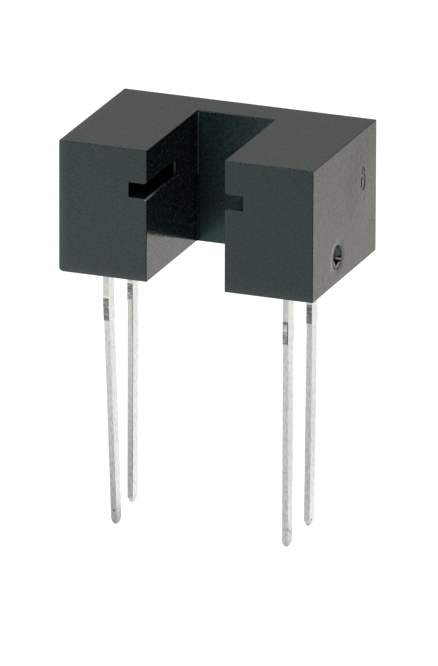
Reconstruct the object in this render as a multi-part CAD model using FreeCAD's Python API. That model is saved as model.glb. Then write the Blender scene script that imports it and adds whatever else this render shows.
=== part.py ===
import FreeCAD, Part
import math
import os

# Slotted optical switch, in millimetres. X runs across the two arms, Y from the open end of the gap
# to the back wall, and Z up. The origin lies on the board, midway between the four leads and straight
# below the middle of the light path.

# Gap between the arms
gap_width = 3.17
gap_depth = 5.3
back_wall = 1.5

# Walls of the moulded case, each measured where it is thinnest
slit_wall = 0.745         # inner face of an arm to the lens chamber
outer_wall = 0.67
front_wall = 0.68
top_wall = 0.75
edge_radius = 0.03        # outer edges
foot_radius = 0.18        # lower outer edge of the left arm
gap_corner = 0.09         # rounding of the two upright corners at the back of the gap
pocket_clearance = 0.05   # round the epoxy package, on each side
pocket_lead_in = 0.15     # chamfer round the pocket's mouth

# Slit in each arm, and the latch hole below it in the outer wall
slit_height = 0.6
slit_past_axis = 0.45     # the slit ends this far behind the light path
slit_edge = 0.14          # rounding where the slit meets the arm's inner face
latch_hole_radius = 0.46
latch_hole_rim = 0.06     # rounding of the hole's outer edge
latch_above_foot = 0.815  # hole's centre above the package's lower face

# Gate mark in the outer face of the right arm, where the melt came in
gate_behind_axis = 2.74
gate_height = 3.17
gate_width = 0.46
gate_length = 0.66
gate_depth = 0.018
gate_neck_width = 0.3     # narrower ring above, with a pit in its upper end
gate_neck_length = 0.34
gate_neck_above = 0.4     # its centre above the mark's
gate_pit_radius = 0.055
stub_share = 0.5          # stubs torn off level with the face, against the rings round them
stub_forward = 0.02       # their centres ahead of the rings'

# Epoxy package in each arm. Its halves part at the plane of the leads.
package_width = 3.8
package_height = 4.25
package_front = 0.89      # leads' middle plane to the face with the lens
package_back = 0.78       # leads' middle plane to the face with the latch
package_recess = 0.2      # lower face above the board
package_draft = 4.0       # degrees, each way from the parting plane
package_corner = 0.45     # chamfer of the two upper corners
lens_radius = 0.75
lens_rise = 0.4
lens_edge = 0.09          # lens rim to the package's upper face
lens_clearance = 0.05
latch_clearance = 0.015
latch_setback = 0.01      # latch nose behind the arm's outer face
latch_slant = 20.0        # degrees by which the nose's relief falls towards the back
latch_ramp = 0.12         # how far the ramp above the ridge goes back
latch_twist = 20.0        # degrees by which the ramp also goes back towards the front
latch_ridge = -0.01       # top of the nose above the hole's centre
latch_lip = 0.07          # height of the lip along the ridge
latch_groove = 0.09       # height of the groove under the lip
latch_groove_depth = 0.16
latch_cheek = 0.3         # front end of the lip, cut back along its length
latch_cheek_depth = 0.14
latch_dent_width = 0.5    # three-sided dent in the nose, below the groove
latch_dent_height = 0.19
latch_dent_depth = 0.1
latch_dent_forward = 0.03

# Leads, blanked from one strip
lead_pitch = 2.54
lead_width = 0.5
lead_thickness = 0.23
lead_length = 10.4        # below the board
tip_side = 0.11           # tip's corners cut back along the width
tip_face = 0.05           # and through the thickness
tip_run = 0.22            # height of those cuts
shoulder_extra = 0.03     # each edge, from the case down to the cut mark
mark_top = 1.25           # below the board, where the tie bar was cut off
mark_length = 0.94
mark_extra = 0.05         # each edge
anchor_extra = 0.12       # barbs that hold the lead in the epoxy
anchor_height = 0.35
anchor_above_foot = 0.5
pad_width = 1.1
pad_height = 1.1
post_width = 0.7
post_height = 0.8

# Bends of two leads, as they stand on this one: depth below the board, then degrees towards +X
anode_bend_depth = 1.2
anode_lean = 2.1
emitter_bend_depth = 2.0
emitter_lean = -0.5
bend_radius = 1.0

# Dies and bond wires
emitter_die_side = 0.3
emitter_die_height = 0.2
detector_die_side = 0.55
detector_die_height = 0.22
die_taper = 0.02
wire_radius = 0.015
wire_loop = 0.2           # top of the loop above the die
ball_radius = 0.045
ball_height = 0.03

# Places that follow from the sizes above, for the right arm
gap_half = gap_width / 2
chamber_x = gap_half + slit_wall
lens_x = chamber_x + lens_clearance
package_face_x = lens_x + lens_rise
lead_x = package_face_x + package_front
package_rear_x = lead_x + package_back
outer_x = package_rear_x + pocket_clearance + outer_wall
pocket_face_x = package_face_x - pocket_clearance
pocket_rear_x = package_rear_x + pocket_clearance
pocket_half = package_width / 2 + pocket_clearance
front_y = -(pocket_half + front_wall)
gap_end_y = front_y + gap_depth
back_y = gap_end_y + back_wall
package_top = package_recess + package_height
pocket_top = package_top + pocket_clearance
case_height = pocket_top + top_wall
light_height = package_top - lens_edge - lens_radius
latch_height = package_recess + latch_above_foot
latch_nose_x = outer_x - latch_setback
pad_face_x = lead_x - lead_thickness / 2
rows = {"front": -1, "rear": 1}
straight = (lead_length / 2, 0.0)
bends = {
    "emitter_anode": (anode_bend_depth, anode_lean),
    "detector_emitter": (emitter_bend_depth, emitter_lean),
}


def polygon(points):
    """Closed wire through points given as (x, y, z)."""
    corners = [FreeCAD.Vector(*p) for p in points]
    return Part.makePolygon(corners + corners[:1])


def prism(points, along):
    """Solid swept from a flat outline of (x, y, z) points by the vector along."""
    return Part.Face(polygon(points)).extrude(FreeCAD.Vector(*along))


def block(x0, x1, y0, y1, z0, z1):
    """Box between two corners."""
    return Part.makeBox(x1 - x0, y1 - y0, z1 - z0, FreeCAD.Vector(x0, y0, z0))


def rod(radius, x0, x1, height):
    """Cylinder along X on the light path's vertical plane."""
    start = FreeCAD.Vector(x0, 0, height)
    return Part.makeCylinder(radius, x1 - x0, start, FreeCAD.Vector(1, 0, 0))


def other_arm(shape):
    """The same thing in the left arm: half a turn about Z."""
    turned = shape.copy()
    turned.rotate(FreeCAD.Vector(0, 0, 0), FreeCAD.Vector(0, 0, 1), 180)
    return turned


def opposite(shape):
    """The same thing in the left arm, as in a mirror."""
    return shape.mirror(FreeCAD.Vector(0, 0, 0), FreeCAD.Vector(1, 0, 0))


def edges_where(shape, test):
    """Edges whose two ends both pass the test."""
    return [e for e in shape.Edges if all(test(v.Point) for v in e.Vertexes)]


def near(a, b):
    return abs(a - b) < 1e-6


def upright_edges(shape, test):
    """Upright edges whose two ends both pass the test."""
    return [e for e in edges_where(shape, test) if not near(e.Vertexes[0].Z, e.Vertexes[1].Z)]


def foot_waste():
    """What the rounding of the left arm's lower outer edge takes away."""
    inner_x = -outer_x + foot_radius
    centre = FreeCAD.Vector(inner_x, front_y, foot_radius)
    rounding = Part.makeCylinder(foot_radius, back_y - front_y, centre, FreeCAD.Vector(0, 1, 0))
    return block(-outer_x, inner_x, front_y, back_y, 0, foot_radius).cut(rounding)


def case_shell():
    """The case before its arms are hollowed: a U in plan, its edges broken and one foot rounded."""
    plan = [
        (-outer_x, front_y, 0), (-gap_half, front_y, 0), (-gap_half, gap_end_y, 0),
        (gap_half, gap_end_y, 0), (gap_half, front_y, 0), (outer_x, front_y, 0),
        (outer_x, back_y, 0), (-outer_x, back_y, 0),
    ]
    shell = prism(plan, (0, 0, case_height))
    shell = shell.makeFillet(gap_corner, upright_edges(shell, lambda p: near(p.y, gap_end_y)))
    upright = upright_edges(shell, lambda p: near(p.y, front_y) or near(p.y, back_y))
    top = edges_where(shell, lambda p: near(p.z, case_height))
    return shell.makeFillet(edge_radius, upright + top).cut(foot_waste())


def pocket():
    """Space for one package: a pocket open below, and a chamber that the lens slides up into."""
    room = block(pocket_face_x, pocket_rear_x, -pocket_half, pocket_half, 0, pocket_top)
    mouth = Part.makeLoft([
        rectangle(pocket_face_x, pocket_rear_x, pocket_half, 0, pocket_lead_in),
        rectangle(pocket_face_x, pocket_rear_x, pocket_half, pocket_lead_in, 0),
    ], True, True)
    chamber_radius = lens_radius + lens_clearance
    chamber = block(chamber_x, lead_x, -chamber_radius, chamber_radius, 0, light_height)
    crown = rod(chamber_radius, chamber_x, lead_x, light_height)
    return room.fuse([mouth, chamber, crown])


def rectangle(x0, x1, half, z, grown):
    """Level rectangle about the X axis, grown outwards on every side."""
    return polygon([
        (x0 - grown, -half - grown, z), (x1 + grown, -half - grown, z),
        (x1 + grown, half + grown, z), (x0 - grown, half + grown, z),
    ])


def slit():
    """Level slit through the arm's inner wall, open at the front of the arm, with a rounded mouth."""
    half = slit_height / 2
    ahead = front_y - slit_height
    bar = block(gap_half, chamber_x, ahead, slit_past_axis, light_height - half, light_height + half)
    gap = block(
        0, gap_half, ahead, slit_past_axis + slit_height,
        light_height - slit_height, light_height + slit_height,
    )
    tool = bar.fuse(gap)
    mouth = edges_where(
        tool,
        lambda p: near(p.x, gap_half) and near(abs(p.z - light_height), half)
    )
    return tool.makeFillet(slit_edge, mouth)


def latch_hole():
    """Round hole through the outer wall, its outer edge rounded."""
    hole = rod(latch_hole_radius, pocket_rear_x - pocket_clearance, outer_x, latch_height)
    beyond = rod(latch_hole_radius + 2 * latch_hole_rim, outer_x, outer_x + latch_hole_rim, latch_height)
    tool = hole.fuse(beyond)
    mouth = edges_where(
        tool,
        lambda p: near(p.x, outer_x) and near(math.hypot(p.y, p.z - latch_height), latch_hole_radius)
    )
    return tool.makeFillet(latch_hole_rim, mouth)


def oblong(width, length, x0, x1, y, z):
    """Upright bar along X with round ends above and below."""
    radius = width / 2
    reach = length / 2 - radius
    ends = [
        Part.makeCylinder(
            radius, x1 - x0, FreeCAD.Vector(x0, y, z + up * reach), FreeCAD.Vector(1, 0, 0)
        )
        for up in (-1, 1)
    ]
    middle = block(x0, x1, y - radius, y + radius, z - reach, z + reach)
    return middle.fuse(ends)


def gate_ring(width, length, height):
    """Shallow upright ring round a stub that is level with the face."""
    floor_x = outer_x - gate_depth
    cut = oblong(width, length, floor_x, outer_x, gate_behind_axis, height)
    margin = width * (1 - stub_share)
    stub = oblong(
        width - margin, length - margin, floor_x, outer_x, gate_behind_axis - stub_forward, height
    )
    return cut.cut(stub)


def gate_mark():
    """A wide ring, a narrow one on top of it and a pit at the upper end."""
    neck_z = gate_height + gate_neck_above
    pit = Part.makeSphere(
        gate_pit_radius, FreeCAD.Vector(outer_x, gate_behind_axis, neck_z + gate_neck_length / 2)
    )
    wide = gate_ring(gate_width, gate_length, gate_height)
    return wide.fuse([gate_ring(gate_neck_width, gate_neck_length, neck_z), pit])


def case():
    right = [pocket(), slit(), latch_hole()]
    left = [opposite(cut) for cut in right]
    return case_shell().cut(right + left + [gate_mark()])


def package_outline(x, inset):
    """The package's outline at one X: upright, with its upper corners cut off."""
    half = package_width / 2 - inset
    foot = package_recess + inset
    top = package_top - inset
    return polygon([
        (x, -half, foot), (x, half, foot), (x, half, top - package_corner),
        (x, half - package_corner, top), (x, -half + package_corner, top),
        (x, -half, top - package_corner),
    ])


def package_half(depth, face_x):
    """One half of the package, tapering from the parting plane to its face."""
    inset = depth * math.tan(math.radians(package_draft))
    return Part.makeLoft([package_outline(lead_x, 0), package_outline(face_x, inset)], True, True)


def lens():
    """Domed lens on the light path, turned from its half section."""
    root_x = package_face_x + lens_rise
    bulge = (lens_radius ** 2 + lens_rise ** 2) / (2 * lens_rise)
    turn = math.asin(lens_radius / bulge) / 2
    apex = FreeCAD.Vector(lens_x, 0, light_height)
    shoulder = FreeCAD.Vector(
        lens_x + bulge * (1 - math.cos(turn)), 0, light_height + bulge * math.sin(turn)
    )
    rim = FreeCAD.Vector(package_face_x, 0, light_height + lens_radius)
    base = FreeCAD.Vector(root_x, 0, light_height + lens_radius)
    centre = FreeCAD.Vector(root_x, 0, light_height)
    section = Part.Wire([
        Part.Arc(apex, shoulder, rim).toShape(),
        Part.makeLine(rim, base),
        Part.makeLine(base, centre),
        Part.makeLine(centre, apex),
    ])
    return Part.Face(section).revolve(apex, FreeCAD.Vector(1, 0, 0), 360)


def latch():
    """Round boss that snaps into the latch hole: a ramp above, then a lip, a groove and a dented nose."""
    radius = latch_hole_radius - latch_clearance
    ridge = latch_height + latch_ridge
    boss = rod(radius, package_rear_x, latch_nose_x, latch_height)
    steep = latch_ramp / (radius - latch_ridge)
    over = 2 * radius
    ramp = prism([
        (latch_nose_x, -over, ridge), (latch_nose_x - over * steep, -over, ridge + over),
        (latch_nose_x + over, -over, ridge + over), (latch_nose_x + over, -over, ridge),
    ], (0, 2 * over, 0))
    ramp.rotate(FreeCAD.Vector(latch_nose_x, radius, 0), FreeCAD.Vector(0, 0, 1), -latch_twist)

    groove_top = ridge - latch_lip
    groove_foot = groove_top - latch_groove
    groove = block(
        latch_nose_x - latch_groove_depth, latch_nose_x, -over, over, groove_foot, groove_top
    )
    cheek = prism([
        (latch_nose_x, -over, groove_top), (latch_nose_x, latch_cheek - radius, groove_top),
        (latch_nose_x - latch_cheek_depth, -radius, groove_top),
        (latch_nose_x - latch_cheek_depth, -over, groove_top),
    ], (0, 0, latch_lip))
    left = (latch_nose_x, -latch_dent_forward - latch_dent_width / 2, groove_foot)
    right = (latch_nose_x, -latch_dent_forward + latch_dent_width / 2, groove_foot)
    foot = (latch_nose_x, -latch_dent_forward, groove_foot - latch_dent_height)
    deep = (latch_nose_x - latch_dent_depth, -latch_dent_forward, groove_foot)
    relief = [ramp, groove, cheek, tetrahedron(left, right, foot, deep)]
    for cut in relief:
        cut.rotate(FreeCAD.Vector(0, 0, latch_height), FreeCAD.Vector(1, 0, 0), -latch_slant)
    return boss.cut(relief).fuse(rod(radius, lead_x, package_rear_x, latch_height))


def tetrahedron(a, b, c, d):
    """Solid between four corners."""
    faces = [Part.Face(polygon(three)) for three in ((a, b, c), (a, b, d), (b, c, d), (c, a, d))]
    return Part.Solid(Part.Shell(faces))


def package():
    """Epoxy package of the right arm, before the leads, die and wire are taken out of it."""
    front = package_half(package_front, package_face_x)
    back = package_half(package_back, package_rear_x)
    return front.fuse([back, lens(), latch()]).removeSplitter()


def blank(row, has_pad):
    """Outline of a lead as blanked from the strip, as a slab across the arm."""
    middle = lead_pitch / 2
    widths = [
        (-lead_length, lead_width / 2 - tip_side),
        (-lead_length + tip_run, lead_width / 2),
        (-mark_top - mark_length, lead_width / 2),
        (-mark_top - mark_length, lead_width / 2 + mark_extra),
        (-mark_top, lead_width / 2 + mark_extra),
        (-mark_top, lead_width / 2 + shoulder_extra),
        (anchor_foot(), lead_width / 2 + shoulder_extra),
        (anchor_foot(), lead_width / 2 + anchor_extra),
        (anchor_foot() + anchor_height, lead_width / 2 + anchor_extra),
        (anchor_foot() + anchor_height, lead_width / 2 + shoulder_extra),
        (light_height - post_height / 2, lead_width / 2 + shoulder_extra),
    ]
    x0 = lead_x - lead_length
    inner = [(x0, row * (middle - w), z) for z, w in widths]
    outer = [(x0, row * (middle + w), z) for z, w in reversed(widths)]
    across = (2 * lead_length, 0, 0)
    stem = prism(inner + outer, across)
    foot_z = light_height - (pad_height if has_pad else post_height) / 2
    top_z = light_height + (pad_height if has_pad else post_height) / 2
    near_y = -pad_width / 2 if has_pad else middle - post_width / 2
    far_y = middle + (lead_width / 2 + shoulder_extra if has_pad else post_width / 2)
    head = prism([
        (x0, row * near_y, foot_z), (x0, row * far_y, foot_z),
        (x0, row * far_y, top_z), (x0, row * near_y, top_z),
    ], across)
    return stem.fuse(head).removeSplitter()


def anchor_foot():
    return package_recess + anchor_above_foot


def strip(x, bend, reach):
    """The strip's thickness seen from the front: upright, then bent by some degrees towards +X."""
    bend_depth, lean = bend
    turn = math.radians(abs(lean))
    side = -1 if lean < 0 else 1
    top_z = light_height + max(pad_height, post_height)
    run = (lead_length - bend_depth - bend_radius * math.sin(turn)) / math.cos(turn)

    def at(angle, out, along=0.0):
        """Point of the bend, out from its middle line, then along its tangent."""
        radius = bend_radius + out
        across = bend_radius - radius * math.cos(angle) + along * math.sin(angle)
        down = bend_depth + radius * math.sin(angle) + along * math.cos(angle)
        return FreeCAD.Vector(x + side * across, -reach, -down)

    half = lead_thickness / 2
    lift = FreeCAD.Vector(0, 0, top_z + bend_depth)
    tip = [
        at(turn, half, run - tip_run), at(turn, half - tip_face, run),
        at(turn, tip_face - half, run), at(turn, -half, run - tip_run),
    ]
    start_out, start_in = at(0, half), at(0, -half)
    edges = [Part.makeLine(start_in, start_in + lift)]
    edges.append(Part.makeLine(start_in + lift, start_out + lift))
    edges.append(Part.makeLine(start_out + lift, start_out))
    if turn:
        edges.append(Part.Arc(start_out, at(turn / 2, half), at(turn, half)).toShape())
        edges.append(Part.makeLine(at(turn, half), tip[0]))
    else:
        edges.append(Part.makeLine(start_out, tip[0]))
    edges += [Part.makeLine(a, b) for a, b in zip(tip, tip[1:])]
    if turn:
        edges.append(Part.makeLine(tip[3], at(turn, -half)))
        edges.append(Part.Arc(at(turn, -half), at(turn / 2, -half), start_in).toShape())
    else:
        edges.append(Part.makeLine(tip[3], start_in))
    return Part.Face(Part.Wire(edges)).extrude(FreeCAD.Vector(0, 2 * reach, 0))


def lead(side, row, has_pad, bend=straight):
    """One lead: the blank's outline and the bent strip, where they meet."""
    x = side * lead_x
    outline = blank(rows[row], has_pad)
    return outline.common(strip(x, bend, package_width))


def die(side, height):
    """Die on the pad, its sawn sides a little narrower at the top."""
    def level(x, half):
        return polygon([
            (x, -half, light_height - half), (x, half, light_height - half),
            (x, half, light_height + half), (x, -half, light_height + half),
        ])
    foot = level(pad_face_x, side / 2)
    top = level(pad_face_x - height, side / 2 - die_taper)
    return Part.makeLoft([foot, top], True, True)


def bond_wire(die_solid, die_height, post_lead):
    """Wire in one arc from a ball on the die to the post, trimmed where it lands."""
    top_x = pad_face_x - die_height
    peak_x = top_x - wire_loop
    post_y = lead_pitch / 2
    start = FreeCAD.Vector(top_x, 0, light_height)
    end = FreeCAD.Vector(pad_face_x, post_y, light_height)
    peak = FreeCAD.Vector(peak_x, post_y / 3, light_height)
    circle = Part.Arc(start, peak, end)
    curve = circle.toShape().Curve
    over = 3 * wire_radius / curve.Radius
    first = curve.parameter(start)
    last = curve.parameter(end)
    low, high = min(first, last) - over, max(first, last) + over
    path = Part.Wire([Part.Edge(curve, low, high)])
    tangent = curve.tangent(low)[0]
    ring = Part.Wire([Part.makeCircle(wire_radius, curve.value(low), tangent)])
    wire = path.makePipeShell([ring], True, True)
    ball = Part.makeCone(
        ball_radius, ball_radius - ball_height / 2, ball_height, start, FreeCAD.Vector(-1, 0, 0)
    )
    return wire.cut([die_solid, post_lead]).fuse(ball)


def write(name, shape):
    """One STEP file for each piece."""
    solids = shape.Solids
    body = solids[0] if len(solids) == 1 else Part.makeCompound(solids)
    body.exportStep(f"parts/{name}.step")
    print(f"{name}: {len(solids)} solid, {body.Volume:.4f} mm3, valid {body.isValid()}")


def main():
    os.makedirs("parts", exist_ok=True)
    write("case", case())

    # Right arm: the detector, its die on the front lead. Left arm: the emitter, its die on the rear lead.
    arms = {
        "detector": (1, detector_die_side, detector_die_height, "front", "collector", "emitter"),
        "emitter": (-1, emitter_die_side, emitter_die_height, "rear", "cathode", "anode"),
    }
    for arm, (side, die_side, die_height, pad_row, pad_name, post_name) in arms.items():
        post_row = "rear" if pad_row == "front" else "front"
        place = (lambda shape: shape) if side > 0 else other_arm
        pad_lead = lead(side, pad_row, True, bends.get(f"{arm}_{pad_name}", straight))
        post_lead = lead(side, post_row, False, bends.get(f"{arm}_{post_name}", straight))
        chip = die(die_side, die_height)
        wire = place(bond_wire(chip, die_height, lead(1, "rear", False)))
        chip = place(chip)
        body = place(package()).cut([pad_lead, post_lead, chip, wire])
        write(f"{arm}_{pad_name}_lead", pad_lead)
        write(f"{arm}_{post_name}_lead", post_lead)
        write(f"{arm}_chip", chip)
        write(f"{arm}_bond_wire", wire)
        write(f"{arm}_body", body)


main()
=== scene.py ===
import math

import bpy
from mathutils import Matrix, Vector


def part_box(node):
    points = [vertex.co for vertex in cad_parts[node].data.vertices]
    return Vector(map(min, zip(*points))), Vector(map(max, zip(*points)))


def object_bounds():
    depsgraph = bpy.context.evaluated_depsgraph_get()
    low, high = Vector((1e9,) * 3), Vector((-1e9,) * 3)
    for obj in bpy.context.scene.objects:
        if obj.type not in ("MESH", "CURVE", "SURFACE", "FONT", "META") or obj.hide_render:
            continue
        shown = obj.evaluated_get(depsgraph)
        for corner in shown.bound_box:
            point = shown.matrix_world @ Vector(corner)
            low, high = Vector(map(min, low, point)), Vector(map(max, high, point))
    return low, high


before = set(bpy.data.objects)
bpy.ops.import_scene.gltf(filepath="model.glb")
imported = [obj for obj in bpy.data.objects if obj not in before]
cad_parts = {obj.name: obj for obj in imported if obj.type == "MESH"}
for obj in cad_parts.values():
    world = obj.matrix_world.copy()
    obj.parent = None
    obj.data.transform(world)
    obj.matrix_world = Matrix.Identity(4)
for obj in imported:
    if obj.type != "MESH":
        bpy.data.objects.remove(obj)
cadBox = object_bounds()
mm = 0.001
print("frame loaded:", len(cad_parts), "nodes")


# Camera. It looks at a point given from the middle of the case's lower front edge.
view = {
    "azimuth": 21.091,        # degrees round from straight ahead
    "elevation": 19.059,
    "roll": 0.2,
    "distance": 569.5 * mm,
    "lookRight": 1.284 * mm,
    "lookUp": -1.743 * mm,
    "focal": 810.8,           # mm on a frame of the height below
    "frameHeight": 36.0,
    "clip": (0.01, 10.0),
}


# It stands off from its target by the distance: to the right by the azimuth's sine and to the front by
# its cosine, both times the elevation's cosine, and up by the elevation's sine. The roll turns it about
# that line.
def addCamera():
    azimuth, elevation = math.radians(view["azimuth"]), math.radians(view["elevation"])
    back = Vector((
        math.sin(azimuth) * math.cos(elevation), -math.cos(azimuth) * math.cos(elevation), math.sin(elevation)
    ))
    right = (-back).cross(Vector((0, 0, 1))).normalized()
    up = back.cross(right)
    low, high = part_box("case")
    foot = Vector(((low.x + high.x) / 2, low.y, low.z))
    target = foot + right * view["lookRight"] + up * view["lookUp"]
    roll = math.radians(view["roll"])
    turnedRight = right * math.cos(roll) + up * math.sin(roll)
    turnedUp = up * math.cos(roll) - right * math.sin(roll)
    data = bpy.data.cameras.new("camera")
    data.sensor_fit = "VERTICAL"
    data.sensor_height = view["frameHeight"]
    data.lens = view["focal"]
    data.clip_start, data.clip_end = view["clip"]
    camera = bpy.data.objects.new("camera", data)
    turn = Matrix((turnedRight, turnedUp, back)).transposed()
    camera.matrix_world = Matrix.Translation(target + back * view["distance"]) @ turn.to_4x4()
    bpy.context.scene.collection.objects.link(camera)
    bpy.context.scene.camera = camera


addCamera()
print("camera placed")


noiseSpan = (0.3, 0.7)        # levels between which nearly all of a noise lies


# A material, its node tree and its main shader
def newMaterial(name):
    material = bpy.data.materials.new(name)
    material.use_nodes = True
    tree = material.node_tree
    return material, tree, tree.nodes["Principled BSDF"]


# Sets sockets by name. A colour given by three numbers is made opaque.
def setInputs(node, values):
    for name, value in values.items():
        socket = node.inputs[name]
        if hasattr(socket.default_value, "__len__") and len(value) == 3 and len(socket.default_value) == 4:
            value = (*value, 1.0)
        socket.default_value = value


# A node of one kind, with its settings and the values of its sockets
def addNode(tree, kind, values=None, **settings):
    node = tree.nodes.new(kind)
    for name, value in settings.items():
        setattr(node, name, value)
    setInputs(node, values or {})
    return node


# Place in the piece's own space, times the scale along each direction
def objectCoordinates(tree, scale=(1, 1, 1)):
    source = addNode(tree, "ShaderNodeTexCoord")
    mapping = addNode(tree, "ShaderNodeMapping", {"Scale": scale})
    tree.links.new(source.outputs["Object"], mapping.inputs["Vector"])
    return mapping.outputs["Vector"]


# Noise from 0 to 1, with features of about the size given
def noise(tree, vector, size, detail=2.0, roughness=0.5):
    node = addNode(tree, "ShaderNodeTexNoise", {"Scale": 1 / size, "Detail": detail, "Roughness": roughness})
    tree.links.new(vector, node.inputs["Vector"])
    return node.outputs["Fac"]


# Straight line from newLow at low to newHigh at high, level beyond both
def remap(tree, value, low, high, newLow, newHigh):
    node = addNode(tree, "ShaderNodeMapRange", {
        "From Min": low, "From Max": high, "To Min": newLow, "To Max": newHigh,
    })
    tree.links.new(value, node.inputs["Value"])
    return node.outputs["Result"]


# One operation on two values, each a number or a socket
def maths(tree, operation, a, b=0.0):
    node = addNode(tree, "ShaderNodeMath", operation=operation)
    for socket, value in zip(node.inputs, (a, b)):
        if isinstance(value, (int, float)):
            socket.default_value = value
        else:
            tree.links.new(value, socket)
    return node.outputs["Value"]


# Product of all the values
def times(tree, value, *others):
    for other in others:
        value = maths(tree, "MULTIPLY", value, other)
    return value


# Greatest of all the values
def greatest(tree, value, *others):
    for other in others:
        value = maths(tree, "MAXIMUM", value, other)
    return value


# One minus the share
def oneLess(tree, share):
    return maths(tree, "SUBTRACT", 1.0, share)


# a times one minus the factor, plus b times the factor
def mixColour(tree, factor, a, b):
    node = addNode(tree, "ShaderNodeMix", data_type="RGBA")
    for name, value in (("Factor_Float", factor), ("A_Color", a), ("B_Color", b)):
        socket = next(s for s in node.inputs if s.identifier == name)
        if isinstance(value, bpy.types.NodeSocket):
            tree.links.new(value, socket)
        elif isinstance(value, (int, float)):
            socket.default_value = value
        else:
            socket.default_value = (*value, 1.0)
    return next(s for s in node.outputs if s.identifier == "Result_Color")


# Share that is 1 where the value lies between low and high, with an edge that is soft to either side
def between(tree, value, low, high, soft):
    above = remap(tree, value, low - soft, low + soft, 0, 1)
    below = remap(tree, value, high - soft, high + soft, 1, 0)
    return times(tree, above, below)


# Product of such shares, each from a value, its two ends and its softness
def inBox(tree, *spans):
    return times(tree, *(between(tree, value, *ends, soft) for value, ends, soft in spans))


# Its parts along the width, the depth and the height
def splitVector(tree, vector):
    parts = addNode(tree, "ShaderNodeSeparateXYZ")
    tree.links.new(vector, parts.inputs["Vector"])
    return parts.outputs["X"], parts.outputs["Y"], parts.outputs["Z"]


# The direction the surface faces: its parts to the right, to the rear and up
def surfaceNormal(tree):
    return splitVector(tree, addNode(tree, "ShaderNodeNewGeometry").outputs["Normal"])


# Length of the straight line from the place to the point
def distanceTo(tree, place, point):
    away = addNode(tree, "ShaderNodeVectorMath", operation="DISTANCE")
    tree.links.new(place, away.inputs[0])
    away.inputs[1].default_value = point
    return away.outputs["Value"]


# The surface seems to stand out by the height times the distance, in metres
def addBump(tree, shader, height, distance):
    bump = addNode(tree, "ShaderNodeBump", {"Distance": distance, "Strength": 1.0})
    tree.links.new(height, bump.inputs["Height"])
    tree.links.new(bump.outputs["Normal"], shader.inputs["Normal"])


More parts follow.
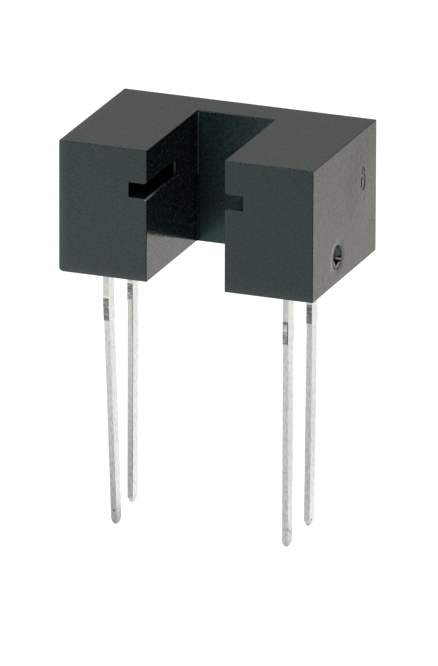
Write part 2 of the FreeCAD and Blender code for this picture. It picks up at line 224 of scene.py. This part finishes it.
# Case: black plastic with a fine spark texture, which looks smoother the flatter it is seen. The
# texture has more contrast inside the gap.
casePlastic = {
    "index": 1.5,
    "colour": (0.0015, 0.0125, 0.0150),
    "paleSpeck": (0.0135, 0.0430, 0.0480),
    "speckSize": 0.075 * mm,
    "speckSpan": (0.36, 0.64),       # noise levels at which a speck starts and is palest
    "paintedLight": (0.062, 0.086, 0.090),   # painted glare: a paler strip along the outer edges
    "glareEdges": (-5.17 * mm, 4.17 * mm, 0.0),   # left, rear and foot
    "glareLevels": (1.0, 0.7, 0.9),
    "glareWidth": 0.45 * mm,
    "matt": 0.28,                    # roughness seen squarely
    "sheen": 0.13,                   # and seen at a low angle
    "turn": (0.15, 0.60),            # how far the surface faces away at each
    "uneven": 0.03,                  # the roughness varies by this to either side
    "grainSize": 0.10 * mm,
    "grainDepth": 0.007 * mm,
    "waveSize": 0.45 * mm,
    "waveDepth": 0.004 * mm,         # slow unevenness of the faces
    "sparkSize": 0.065 * mm,
    "spark": (0.08, 0.80),           # how far the gloss varies, seen squarely and at a low angle

    "gap": {
        "half": 1.6 * mm,
        "edge": 0.005 * mm,
        "end": (2.72 * mm, 2.7472 * mm),
        "facing": (0.8, 0.9),        # how squarely its two sides face left or right
        "middle": 0.1 * mm,          # left turns into right over this to either side
        "colour": (0.0012, 0.0075, 0.0090),
        "paleSpeck": (0.0180, 0.0430, 0.0490),
        "speckSize": 0.055 * mm,
        "speckSpan": (0.49, 0.60),
        "sideShade": 0.62,           # the two sides are darker by this share, a painted shade
        "dust": (0.200, 0.265, 0.285),       # sparse pale dots on the left one
        "dustSize": 0.07 * mm,
        "dustSpan": (0.58, 0.72),
        "foot": (0.0220, 0.0640, 0.0760),    # painted light: the rear wall is paler towards its foot
        "footHeight": 1.5 * mm,
        "rearMatt": 0.08,            # and this much rougher
        "spark": 0.45,               # how far the gloss varies at least
        "gloss": (0.79, 0.95, 0.97),         # tint of the gloss
        "calm": 0.25,                # share of the relief's depth
    },

    # The gap's left rear corner: the gloss is dimmed in it as a painted shade, and a painted highlight runs
    # up it
    "corner": {
        "width": 0.13 * mm,
        "depth": (2.5 * mm, 2.7 * mm),
        "edge": 0.01 * mm,
        "gloss": 0.2,
        "line": (0.20, 0.30, 0.31),
        "lineStart": 0.04 * mm,      # from the arm's face
        "lineWidth": 0.04 * mm,
        "lineHeight": (2.7 * mm, 5.19 * mm),
        "lineFade": 0.03 * mm,
    },

    # Slits in the arms' inner faces, with painted shadow and light inside, and the painted highlights under
    # the left one and at its rear end
    "slits": {
        "height": (3.300 * mm, 3.93 * mm),
        "heightEdge": 0.005 * mm,
        "beside": (1.60 * mm, 2.34 * mm),
        "depth": (-2.62 * mm, 0.46 * mm),
        "edge": 0.01 * mm,
        # Painted shadow in the left slit and the right one's far part, painted light in the rest of the right
        # one
        "left": (0.0003, 0.0015, 0.0018),
        "right": (0.0080, 0.0460, 0.0540),
        "shade": (2.11 * mm, 2.15 * mm),     # over this the right one turns dark, a painted shadow
        "roughness": 0.6,
        "gloss": 0.6,
        "rimBeside": (1.57 * mm, 1.68 * mm),
        # Painted highlight: the pale lip under the left slit, broken in places
        "lip": (0.42, 0.60, 0.60),
        "lipHeight": (3.235 * mm, 3.285 * mm),
        "lipDepth": (-2.64 * mm, 0.72 * mm),
        "breakSize": 0.30 * mm,
        "breakSpan": (0.42, 0.54),
        "breakLevel": 0.15,          # what is left of the line in a break
        # Painted highlight at the left slit's rear end
        "rearEnd": (0.18, 0.28, 0.28),
        "rearHeight": (3.42 * mm, 3.84 * mm),
        "rearHeightEdge": 0.06 * mm,
        "rearDepth": (0.30 * mm, 0.50 * mm),
    },

    # Latch holes through the outer sides, with painted light on their wall and rim
    "latchHole": {
        "height": 1.01 * mm,
        "radius": 0.46 * mm,
        "reach": 0.53 * mm,
        "start": (4.3 * mm, 4.343 * mm),
        # Painted light on the holes' wall, paler to the rear
        "wall": (0.06, 0.19, 0.20),
        "wallRear": (0.45, 0.50, 0.48),
    },

    # Shallow forms of the outer sides, in mm: place along the depth and height, radii at which the
    # form starts and ends, height above the face, and whether the left side has it too
    "forms": [
        (0.0, 1.01, 0.46, 0.80, -0.018, True),
        (2.70, 3.14, 0.4, 2.1, 0.024, False),
        (3.58, 1.42, 0.0, 0.10, -0.030, False),
        (1.80, 2.66, 0.0, 0.12, -0.006, False),
        (2.73, 2.56, 0.0, 0.13, -0.012, False),
    ],
}


# Share that is 1 within one radius of a level line along the width and falls smoothly to 0 at another
def sideForm(tree, place, depth, height, start, end):
    flat = addNode(tree, "ShaderNodeVectorMath", operation="MULTIPLY")
    tree.links.new(place, flat.inputs[0])
    flat.inputs[1].default_value = (0, 1, 1)
    fall = addNode(tree, "ShaderNodeMapRange", {
        "From Min": start, "From Max": end, "To Min": 1, "To Max": 0,
    }, interpolation_type="SMOOTHSTEP")
    away = distanceTo(tree, flat.outputs["Vector"], (0, depth, height))
    tree.links.new(away, fall.inputs["Value"])
    return fall.outputs["Result"]


# Place on the case, and for each of its zones the share, from 0 to 1, to which that lies in it
def caseZones(tree):
    gap, slits, hole = (casePlastic[part] for part in ("gap", "slits", "latchHole"))
    place = objectCoordinates(tree)
    across, depth, height = splitVector(tree, place)
    beside = maths(tree, "ABSOLUTE", across)
    inGap = between(tree, across, -gap["half"], gap["half"], gap["edge"])
    return {
        "place": place,
        "across": across,
        "depth": depth,
        "height": height,
        "beside": beside,
        "gap": times(tree, inGap, remap(tree, depth, *gap["end"], 1, 0)),
        "sideways": remap(tree, maths(tree, "ABSOLUTE", surfaceNormal(tree)[0]), *gap["facing"], 0, 1),
        "left": remap(tree, across, -gap["middle"], gap["middle"], 1, 0),
        "slit": inBox(
            tree, (height, slits["height"], slits["heightEdge"]), (depth, slits["depth"], slits["edge"]),
            (beside, slits["beside"], slits["edge"]),
        ),
        "outerSides": remap(tree, beside, *hole["start"], 0, 1),
        "rightSide": remap(tree, across, *hole["start"], 0, 1),
    }


# Specks over the colour, then the painted glare colour by the square of the greatest nearness to an outer
# edge
def outerColour(tree, zones):
    look = casePlastic
    width = look["glareWidth"]
    left, rear, foot = look["glareEdges"]
    atLeft, atRear, atFoot = look["glareLevels"]
    speck = remap(tree, noise(tree, zones["place"], look["speckSize"]), *look["speckSpan"], 0, 1)
    paintedLight = greatest(
        tree,
        remap(tree, zones["across"], left, left + width, atLeft, 0),
        remap(tree, zones["depth"], rear - width, rear, 0, atRear),
        remap(tree, zones["height"], foot, foot + width, atFoot, 0),
    )
    colour = mixColour(tree, speck, look["colour"], look["paleSpeck"])
    return mixColour(tree, times(tree, paintedLight, paintedLight), colour, look["paintedLight"])


# Specks over the colour, then the painted shade of the two sides, dust on the left one and painted light at
# the rear wall's foot
def gapColour(tree, zones):
    look = casePlastic["gap"]
    place, sideways = zones["place"], zones["sideways"]
    speck = remap(tree, noise(tree, place, look["speckSize"], detail=1.0), *look["speckSpan"], 0, 1)
    dots = remap(tree, noise(tree, place, look["dustSize"], detail=1.0), *look["dustSpan"], 0, 1)
    lowDown = remap(tree, zones["height"], 0, look["footHeight"], 1, 0)
    colour = mixColour(tree, speck, look["colour"], look["paleSpeck"])
    colour = mixColour(tree, times(tree, sideways, look["sideShade"]), colour, (0, 0, 0))
    colour = mixColour(tree, times(tree, dots, zones["left"], sideways), colour, look["dust"])
    return mixColour(tree, times(tree, lowDown, oneLess(tree, sideways)), colour, look["foot"])


# Share of an upright band in the corner, from its start, counted from the arm's face, and its width
def cornerBand(tree, zones, start, width):
    look = casePlastic["corner"]
    edge = look["edge"]
    left = start - casePlastic["gap"]["half"]
    return inBox(tree, (zones["across"], (left, left + width), edge), (zones["depth"], look["depth"], edge))


# The painted highlight: its band times its span of heights
def cornerHighlight(tree, zones):
    look = casePlastic["corner"]
    upright = between(tree, zones["height"], *look["lineHeight"], look["lineFade"])
    return times(tree, cornerBand(tree, zones, look["lineStart"], look["lineWidth"]), upright)


# The slits' insides over the colour given, painted shadow in the left one and the right one's far part and
# painted light in the rest of the right one, then the painted highlights at the rear end and on the broken
# lip of the left one
def slitColour(tree, zones, colour):
    look = casePlastic["slits"]
    edge = look["edge"]
    rim = (zones["beside"], look["rimBeside"], edge)
    slitShadow = remap(tree, zones["across"], *look["shade"], 0, 1)
    inside = mixColour(tree, greatest(tree, zones["left"], slitShadow), look["right"], look["left"])
    rearEnd = inBox(
        tree, (zones["height"], look["rearHeight"], look["rearHeightEdge"]), rim,
        (zones["depth"], look["rearDepth"], edge),
    )
    lip = inBox(
        tree, (zones["height"], look["lipHeight"], edge), rim, (zones["depth"], look["lipDepth"], edge)
    )
    breaks = noise(tree, zones["place"], look["breakSize"], detail=1.0)
    broken = remap(tree, breaks, *look["breakSpan"], look["breakLevel"], 1)
    colour = mixColour(tree, zones["slit"], colour, inside)
    colour = mixColour(tree, times(tree, rearEnd, zones["left"]), colour, look["rearEnd"])
    return mixColour(tree, times(tree, lip, broken, zones["left"]), colour, look["lip"])


# The latch holes' wall, painted lit over the colour given and paler from the middle to the rear
def latchHoleColour(tree, zones, colour):
    look = casePlastic["latchHole"]
    inHole = sideForm(tree, zones["place"], 0, look["height"], look["radius"], look["reach"])
    rear = remap(tree, zones["depth"], 0, look["radius"], 0, 1)
    wall = mixColour(tree, rear, look["wall"], look["wallRear"])
    return mixColour(tree, times(tree, inHole, zones["outerSides"]), colour, wall)


# From matt to sheen as the surface turns away, plus the unevenness and the rear wall's share, and in
# the slits at least their own
def caseRoughness(tree, zones, slant, grain):
    look = casePlastic
    rearWall = times(tree, zones["gap"], oneLess(tree, zones["sideways"]))
    smooth = remap(tree, slant, *look["turn"], look["matt"], look["sheen"])
    smooth = maths(tree, "ADD", smooth, remap(tree, grain, *noiseSpan, -look["uneven"], look["uneven"]))
    smooth = maths(tree, "ADD", smooth, times(tree, rearWall, look["gap"]["rearMatt"]))
    return greatest(tree, smooth, times(tree, zones["slit"], look["slits"]["roughness"]))


# Tint of the gloss, times one plus the spark, times what the corner and the slits leave of it
def caseGloss(tree, zones, slant):
    look = casePlastic
    reach = remap(tree, slant, *look["turn"], *look["spark"])
    reach = greatest(tree, reach, times(tree, zones["gap"], look["gap"]["spark"]))
    spark = remap(tree, noise(tree, zones["place"], look["sparkSize"], detail=1.0), *noiseSpan, -1, 1)
    spark = maths(tree, "ADD", times(tree, spark, reach), 1.0)
    inCorner = cornerBand(tree, zones, 0, look["corner"]["width"])
    corner = remap(tree, inCorner, 0, 1, 1, look["corner"]["gloss"])
    slit = remap(tree, zones["slit"], 0, 1, 1, look["slits"]["gloss"])
    gloss = addNode(tree, "ShaderNodeVectorMath", operation="SCALE")
    tree.links.new(mixColour(tree, zones["gap"], (1, 1, 1), look["gap"]["gloss"]), gloss.inputs[0])
    tree.links.new(times(tree, spark, corner, slit), gloss.inputs["Scale"])
    return gloss.outputs["Vector"]


# Height above the face in metres: the sum of grain and wave, calmer in the gap, plus each shallow form
def caseRelief(tree, zones, grain):
    look = casePlastic
    place = zones["place"]
    wave = times(tree, noise(tree, place, look["waveSize"], detail=1.0), look["waveDepth"])
    relief = maths(tree, "ADD", times(tree, grain, look["grainDepth"]), wave)
    relief = times(tree, relief, remap(tree, zones["gap"], 0, 1, 1, look["gap"]["calm"]))
    for depth, height, start, end, rise, bothSides in look["forms"]:
        form = sideForm(tree, place, depth * mm, height * mm, start * mm, end * mm)
        side = zones["outerSides" if bothSides else "rightSide"]
        relief = maths(tree, "ADD", relief, times(tree, form, side, rise * mm))
    return relief


# The gap's colour over the outer one, then the corner's painted highlight, the slits and the latch holes
def casePlasticMaterial():
    material, tree, shader = newMaterial("casePlastic")
    setInputs(shader, {"IOR": casePlastic["index"]})
    zones = caseZones(tree)
    slant = addNode(tree, "ShaderNodeLayerWeight", {"Blend": 0.5}).outputs["Facing"]
    grain = noise(tree, zones["place"], casePlastic["grainSize"])
    colour = mixColour(tree, zones["gap"], outerColour(tree, zones), gapColour(tree, zones))
    colour = mixColour(tree, cornerHighlight(tree, zones), colour, casePlastic["corner"]["line"])
    colour = slitColour(tree, zones, colour)
    colour = latchHoleColour(tree, zones, colour)
    tree.links.new(colour, shader.inputs["Base Color"])
    tree.links.new(caseRoughness(tree, zones, slant, grain), shader.inputs["Roughness"])
    tree.links.new(caseGloss(tree, zones, slant), shader.inputs["Specular Tint"])
    addBump(tree, shader, caseRelief(tree, zones, grain), 1.0)
    return material


# Leads: tin-plated strip, bright on its rolled sides and duller on its sheared edges
leadTin = {
    "rolled": (0.82, 0.815, 0.81),
    "sheared": (0.71, 0.70, 0.69),
    "facing": (0.55, 0.8),           # how squarely the sheared edges face the front or rear
    "rolledRoughness": (0.22, 0.36),
    "shearedRoughness": (0.34, 0.50),
    "mottleSize": 0.085 * mm,
    "mottleLength": 2.5,             # it is drawn out this much along the lead
    "mottleRoughness": 0.65,
    "mottleLevels": (0.62, 1.12),
    "grainDepth": 0.004 * mm,
    "cutEdge": 0.015 * mm,
    "cutSplit": 0.45,                # the torn face changes tone at this share of its height
    "splitEdge": 0.01 * mm,
    "ledgeHeight": 0.06 * mm,
    "streakSize": 0.09 * mm,
    "streakScale": (0.45, 1, 1.3),
    "streakRoughness": 0.7,
    "streakLevels": (0.35, 1.75),
    "stripEdge": 0.04 * mm,
    "nick": (0.20, 0.19, 0.18),
    "nickCore": 0.5,                 # share of its radius within which a nick is fully dark
}


# Dots of one radius in a row: the first place plus the step times 0, 1, 2 and so on
def dotRow(first, step, count, radius):
    return [(*(start + k * move for start, move in zip(first, step)), radius) for k in range(count)]


# Marks of each lead, in mm. Where the tie bar was cut off: its span, how bright the torn face is in
# its upper and lower parts, and the level of the painted highlight on the ledge over it. Nicks are
# places on the surface, with their radii. Strips on the sheared edges lie to the right of the first
# number, between the next two heights, and have the last one as their level.
leadMarks = {
    "emitter_anode_lead": {
        "cut": (-2.15, -1.25), "tones": (0.27, 0.24), "ledge": 1.0,
        "nicks": [(-3.35, -1.52, -9.82, 0.055)],
        "strips": [],
    },
    "emitter_cathode_lead": {
        "cut": (-2.10, -1.45), "tones": (0.26, 0.34), "ledge": 0.9,
        "nicks": [],
        "strips": [(-3.62, -3.6, -2.1, 0.46), (-3.60, -9.0, -3.6, 0.52)],
    },
    "detector_collector_lead": {
        "cut": (-2.19, -1.30), "tones": (0.46, 0.33), "ledge": 0.8,
        "nicks": dotRow((3.785, -1.50, -9.66), (0, 0.06, -0.045), 5, 0.048),
        "strips": [(3.745, -2.19, -1.30, 0.12), (3.5, -1.36, -1.28, 0.16)],
    },
    "detector_emitter_lead": {
        "cut": (-2.17, -1.39), "tones": (0.21, 0.23), "ledge": 0.8,
        "nicks": [(3.715, 1.20, -10.2, 0.10), *dotRow((3.50, 1.12, -10.39), (0.045, 0, 0), 4, 0.05)],
        "strips": [],
    },
}


# The torn face, its tone times the streaks, then the painted highlight on the ledge at its top and
# the strips, all on the sheared edges and over the colour given
def cutColour(tree, place, sheared, marks, colour):
    look = leadTin
    across, _, height = splitVector(tree, place)
    foot, top = (z * mm for z in marks["cut"])
    split = foot + look["cutSplit"] * (top - foot)
    upperTone, lowerTone = marks["tones"]
    tone = remap(tree, height, split - look["splitEdge"], split + look["splitEdge"], lowerTone, upperTone)
    streaked = objectCoordinates(tree, scale=look["streakScale"])
    streak = noise(tree, streaked, look["streakSize"], roughness=look["streakRoughness"])
    tone = times(tree, tone, remap(tree, streak, *noiseSpan, *look["streakLevels"]))
    torn = between(tree, height, foot, top, look["cutEdge"])
    ledge = between(tree, height, top, top + look["ledgeHeight"], look["cutEdge"])
    colour = mixColour(tree, times(tree, torn, sheared), colour, tone)
    colour = mixColour(tree, times(tree, ledge, sheared), colour, (marks["ledge"],) * 3)
    for left, low, high, level in marks["strips"]:
        right = maths(tree, "GREATER_THAN", across, left * mm)
        span = between(tree, height, low * mm, high * mm, look["stripEdge"])
        colour = mixColour(tree, times(tree, right, span, sheared), colour, (level,) * 3)
    return colour


# Rolled and sheared colours with the cut's marks, times the mottle's shade, then the nicks
def leadTinMaterial(name):
    look, marks = leadTin, leadMarks[name]
    material, tree, shader = newMaterial(name)
    setInputs(shader, {"Metallic": 1.0})
    place = objectCoordinates(tree)
    mottled = objectCoordinates(tree, scale=(1, 1, 1 / look["mottleLength"]))
    mottle = noise(tree, mottled, look["mottleSize"], detail=3.0, roughness=look["mottleRoughness"])
    sheared = remap(tree, maths(tree, "ABSOLUTE", surfaceNormal(tree)[1]), *look["facing"], 0, 1)
    colour = mixColour(tree, sheared, look["rolled"], look["sheared"])
    colour = cutColour(tree, place, sheared, marks, colour)
    colour = mixColour(tree, remap(tree, mottle, *noiseSpan, *look["mottleLevels"]), (0, 0, 0), colour)
    for x, y, z, radius in marks["nicks"]:
        away = distanceTo(tree, place, (x * mm, y * mm, z * mm))
        nick = remap(tree, away, look["nickCore"] * radius * mm, radius * mm, 1, 0)
        colour = mixColour(tree, nick, colour, look["nick"])
    tree.links.new(colour, shader.inputs["Base Color"])

    rolledFinish = remap(tree, mottle, *noiseSpan, *look["rolledRoughness"])
    shearedFinish = remap(tree, mottle, *noiseSpan, *look["shearedRoughness"])
    share = times(tree, maths(tree, "SUBTRACT", shearedFinish, rolledFinish), sheared)
    tree.links.new(maths(tree, "ADD", rolledFinish, share), shader.inputs["Roughness"])
    addBump(tree, shader, mottle, look["grainDepth"])
    return material


# Epoxy packages: clear for the emitter, dark for the detector, each with a latch in the latch hole
epoxy = {
    "index": 1.55,
    "clear": (0.80, 0.86, 0.95),
    "dark": (0.004, 0.004, 0.006),
    # Painted light on the latch's upper face: teal where shaded at the front, pale where lit at the rear
    "latch": (0.06, 0.24, 0.26),
    "latchLit": (0.75, 0.85, 0.82),
    "latchStart": (4.46 * mm, 4.56 * mm),
    "latchHalf": 0.45 * mm,
    "latchBar": (0.95 * mm, 0.98 * mm),   # heights over which the painted light on the upper face starts
    "latchRoughness": 0.5,
    "roughness": (0.04, 0.12),
    "rippleSize": 0.6 * mm,
    "rippleDepth": 0.002 * mm,
}


# The colour given, and on the latch's upper face painted light, shaded at the front and lit at the rear
def epoxyMaterial(name, colour, transmission):
    look = epoxy
    material, tree, shader = newMaterial(name)
    setInputs(shader, {"Transmission Weight": transmission, "IOR": look["index"]})
    place = objectCoordinates(tree)
    across, depth, height = splitVector(tree, place)
    paintedLight = remap(tree, depth, -look["latchHalf"], look["latchHalf"], 0, 1)
    latch = mixColour(tree, paintedLight, look["latch"], look["latchLit"])
    onLatch = times(
        tree,
        remap(tree, maths(tree, "ABSOLUTE", across), *look["latchStart"], 0, 1),
        remap(tree, height, *look["latchBar"], 0, 1),
    )
    tree.links.new(mixColour(tree, onLatch, colour, latch), shader.inputs["Base Color"])
    ripple = noise(tree, place, look["rippleSize"])
    finish = remap(tree, ripple, *noiseSpan, *look["roughness"])
    finish = greatest(tree, finish, times(tree, onLatch, look["latchRoughness"]))
    tree.links.new(finish, shader.inputs["Roughness"])
    addBump(tree, shader, ripple, look["rippleDepth"])
    return material


# Dies and bond wires
chips = {
    "emitterDie": {"colour": (0.20, 0.13, 0.13), "metallic": 0.0, "roughness": (0.2, 0.4)},
    "detectorDie": {"colour": (0.10, 0.11, 0.16), "metallic": 0.0, "roughness": (0.1, 0.3)},
    "goldWire": {"colour": (0.95, 0.68, 0.28), "metallic": 1.0, "roughness": (0.2, 0.35)},
    "grainSize": 0.04 * mm,
    "grainShade": 0.7,               # how light the grain's dark parts are
}


# Grain between the colour times the grain's shade and the colour itself
def chipMaterial(name):
    look = chips[name]
    material, tree, shader = newMaterial(name)
    setInputs(shader, {"Metallic": look["metallic"]})
    grain = noise(tree, objectCoordinates(tree), chips["grainSize"], detail=3.0)
    darker = tuple(chips["grainShade"] * c for c in look["colour"])
    tree.links.new(mixColour(tree, grain, darker, look["colour"]), shader.inputs["Base Color"])
    tree.links.new(remap(tree, grain, *noiseSpan, *look["roughness"]), shader.inputs["Roughness"])
    return material


# Each node takes its own material, and both wires the same
def dressNodes():
    finishes = {
        "case": casePlasticMaterial(),
        "emitter_body": epoxyMaterial("emitterEpoxy", epoxy["clear"], 1.0),
        "detector_body": epoxyMaterial("detectorEpoxy", epoxy["dark"], 0.0),
        "emitter_chip": chipMaterial("emitterDie"),
        "detector_chip": chipMaterial("detectorDie"),
    }
    gold = chipMaterial("goldWire")
    for name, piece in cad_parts.items():
        if name.endswith("_lead"):
            finish = leadTinMaterial(name)
        elif name.endswith("_wire"):
            finish = gold
        else:
            finish = finishes[name]
        piece.material_slots[0].material = finish


dressNodes()
print("materials on", len(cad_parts), "nodes")


# Studio: a pale floor at the leads' tips, a soft surround and one large lamp. All lengths and places
# in it are in metres.
studio = {
    "floorSize": 0.8,
    "floorColour": 0.75,
    "floorLift": 0.96,
    "pool": (0.025, 0.08),           # from the object, over which the light that gloss sees falls off
    "poolLevels": (1.22, 0.65),
    "behind": (-0.02, 0.02),         # the front turns into the rear over this
    "sweep": (-0.020, -0.008),       # in front the light changes from left to right
    "sweepLevels": (1.33, 0.86),
    "cut": (0.005, 0.010),           # it is dark to the right of this
    "cutLevels": (1.0, 0.1),
    "fall": (-0.043, -0.031),        # and it changes from near to far
    "fallLevels": (1.0, 1.26),
    "dip": (-0.005, -0.002, -0.0104),     # it is dimmer in front of this place
    "dipReach": (0.002, 0.016),
    "dipEdge": (0.0, 0.0015),
    "dipDepth": 0.45,
    "feet": [(-0.00342, -0.0014), (-0.00367, 0.0012), (0.00367, -0.0013), (0.0036, 0.0011)],
    "footReach": (0.0003, 0.0010),   # and close round each foot
    "footLevel": 0.88,
    "frontTint": (0.98, 1.0, 0.955),
    "backTint": (1.10, 1.05, 0.98),
    "nearTint": (0.95, 0.95, 0.945),      # round the leads' tips
    "near": (0.028, 0.033),          # from the object, over which that ends
    "surround": (0.045, 0.045, 0.045),
    "gloom": (0.012, 0.012, 0.012),  # and what gloss sees of it
    "panel": (0.447, 0.447, 0.420),  # large pale panel behind, seen in the case's top
    "panelPlace": (-0.34, 0.88, 0.33),
    "panelSpread": (0.55, 0.80),     # cosines of the angles at which it ends and is at its full level
    "lamp": (-0.150, -0.64, 0.52),
    "lampSize": 0.3,
    "lampEnergy": 2.9,
}


# What gloss sees of the floor: the pool's level, times sweep, cut and fall in front of the object,
# times one minus the dip, times each foot's level. It is cooler in front and warmer behind.
def floorGlow(tree, floorHeight):
    look = studio
    place = addNode(tree, "ShaderNodeTexCoord").outputs["Object"]
    across, depth, _ = splitVector(tree, place)
    away = distanceTo(tree, place, (0, 0, 0))
    behind = remap(tree, depth, *look["behind"], 0, 1)
    front = times(
        tree,
        remap(tree, across, *look["sweep"], *look["sweepLevels"]),
        remap(tree, across, *look["cut"], *look["cutLevels"]),
        remap(tree, depth, *look["fall"], *look["fallLevels"]),
    )
    sweep = maths(tree, "ADD", times(tree, front, oneLess(tree, behind)), behind)
    dip = times(
        tree,
        remap(tree, distanceTo(tree, place, look["dip"]), *look["dipReach"], look["dipDepth"], 0),
        remap(tree, depth, *look["dipEdge"], 1, 0),
    )
    level = times(tree, remap(tree, away, *look["pool"], *look["poolLevels"]), sweep, oneLess(tree, dip))
    for x, y in look["feet"]:
        fromFoot = distanceTo(tree, place, (x, y, floorHeight))
        level = times(tree, level, remap(tree, fromFoot, *look["footReach"], look["footLevel"], 1))
    tint = mixColour(tree, behind, look["frontTint"], look["backTint"])
    tint = mixColour(tree, remap(tree, away, *look["near"], 0, 1), look["nearTint"], tint)
    glow = addNode(tree, "ShaderNodeEmission")
    tree.links.new(tint, glow.inputs["Color"])
    tree.links.new(level, glow.inputs["Strength"])
    return glow.outputs["Emission"]


# A square at the leads' tips: matt and nearly white to the camera, and the glow to gloss and glass
def addFloor():
    half = studio["floorSize"] / 2
    z = cadBox[0][2]
    mesh = bpy.data.meshes.new("floor")
    corners = [(-half, -half, z), (half, -half, z), (half, half, z), (-half, half, z)]
    mesh.from_pydata(corners, [], [(0, 1, 2, 3)])
    floor = bpy.data.objects.new("floor", mesh)
    bpy.context.scene.collection.objects.link(floor)
    material, tree, shader = newMaterial("floor")
    setInputs(shader, {
        "Base Color": (studio["floorColour"],) * 3,
        "Roughness": 1.0,
        "Specular IOR Level": 0.0,
        "Emission Color": (1, 1, 1),
    })
    path = addNode(tree, "ShaderNodeLightPath")
    lift = times(tree, path.outputs["Is Camera Ray"], studio["floorLift"])
    tree.links.new(lift, shader.inputs["Emission Strength"])
    mixer = addNode(tree, "ShaderNodeMixShader")
    seen = greatest(tree, path.outputs["Is Glossy Ray"], path.outputs["Is Transmission Ray"])
    tree.links.new(seen, mixer.inputs["Fac"])
    tree.links.new(shader.outputs["BSDF"], mixer.inputs[1])
    tree.links.new(floorGlow(tree, z), mixer.inputs[2])
    tree.links.new(mixer.outputs["Shader"], tree.nodes["Material Output"].inputs["Surface"])
    floor.data.materials.append(material)


# White to the camera, the even surround to other rays, and to gloss the gloom with the panel in it,
# whose share goes by the cosine of the angle to the panel's place
def addWorld():
    world = bpy.data.worlds.new("studio")
    bpy.context.scene.world = world
    world.use_nodes = True
    tree = world.node_tree
    source = addNode(tree, "ShaderNodeTexCoord")
    towards = addNode(tree, "ShaderNodeVectorMath", operation="DOT_PRODUCT")
    tree.links.new(source.outputs["Generated"], towards.inputs[0])
    towards.inputs[1].default_value = studio["panelPlace"]
    share = remap(tree, towards.outputs["Value"], *studio["panelSpread"], 0, 1)
    path = addNode(tree, "ShaderNodeLightPath")
    glossy = mixColour(tree, share, studio["gloom"], studio["panel"])
    light = mixColour(tree, path.outputs["Is Glossy Ray"], studio["surround"], glossy)
    seen = mixColour(tree, path.outputs["Is Camera Ray"], light, (1, 1, 1))
    tree.links.new(seen, tree.nodes["Background"].inputs["Color"])


# A round lamp that faces the middle
def addLamp(name, place, size, energy):
    data = bpy.data.lights.new(name, "AREA")
    data.shape, data.size, data.energy = "DISK", size, energy
    lamp = bpy.data.objects.new(name, data)
    lamp.location = place
    lamp.rotation_euler = Vector(place).to_track_quat("Z", "Y").to_euler()
    bpy.context.scene.collection.objects.link(lamp)


addFloor()
addWorld()
addLamp("softbox", studio["lamp"], studio["lampSize"], studio["lampEnergy"])
bpy.context.scene.view_settings.view_transform = "Standard"
print("studio ready")
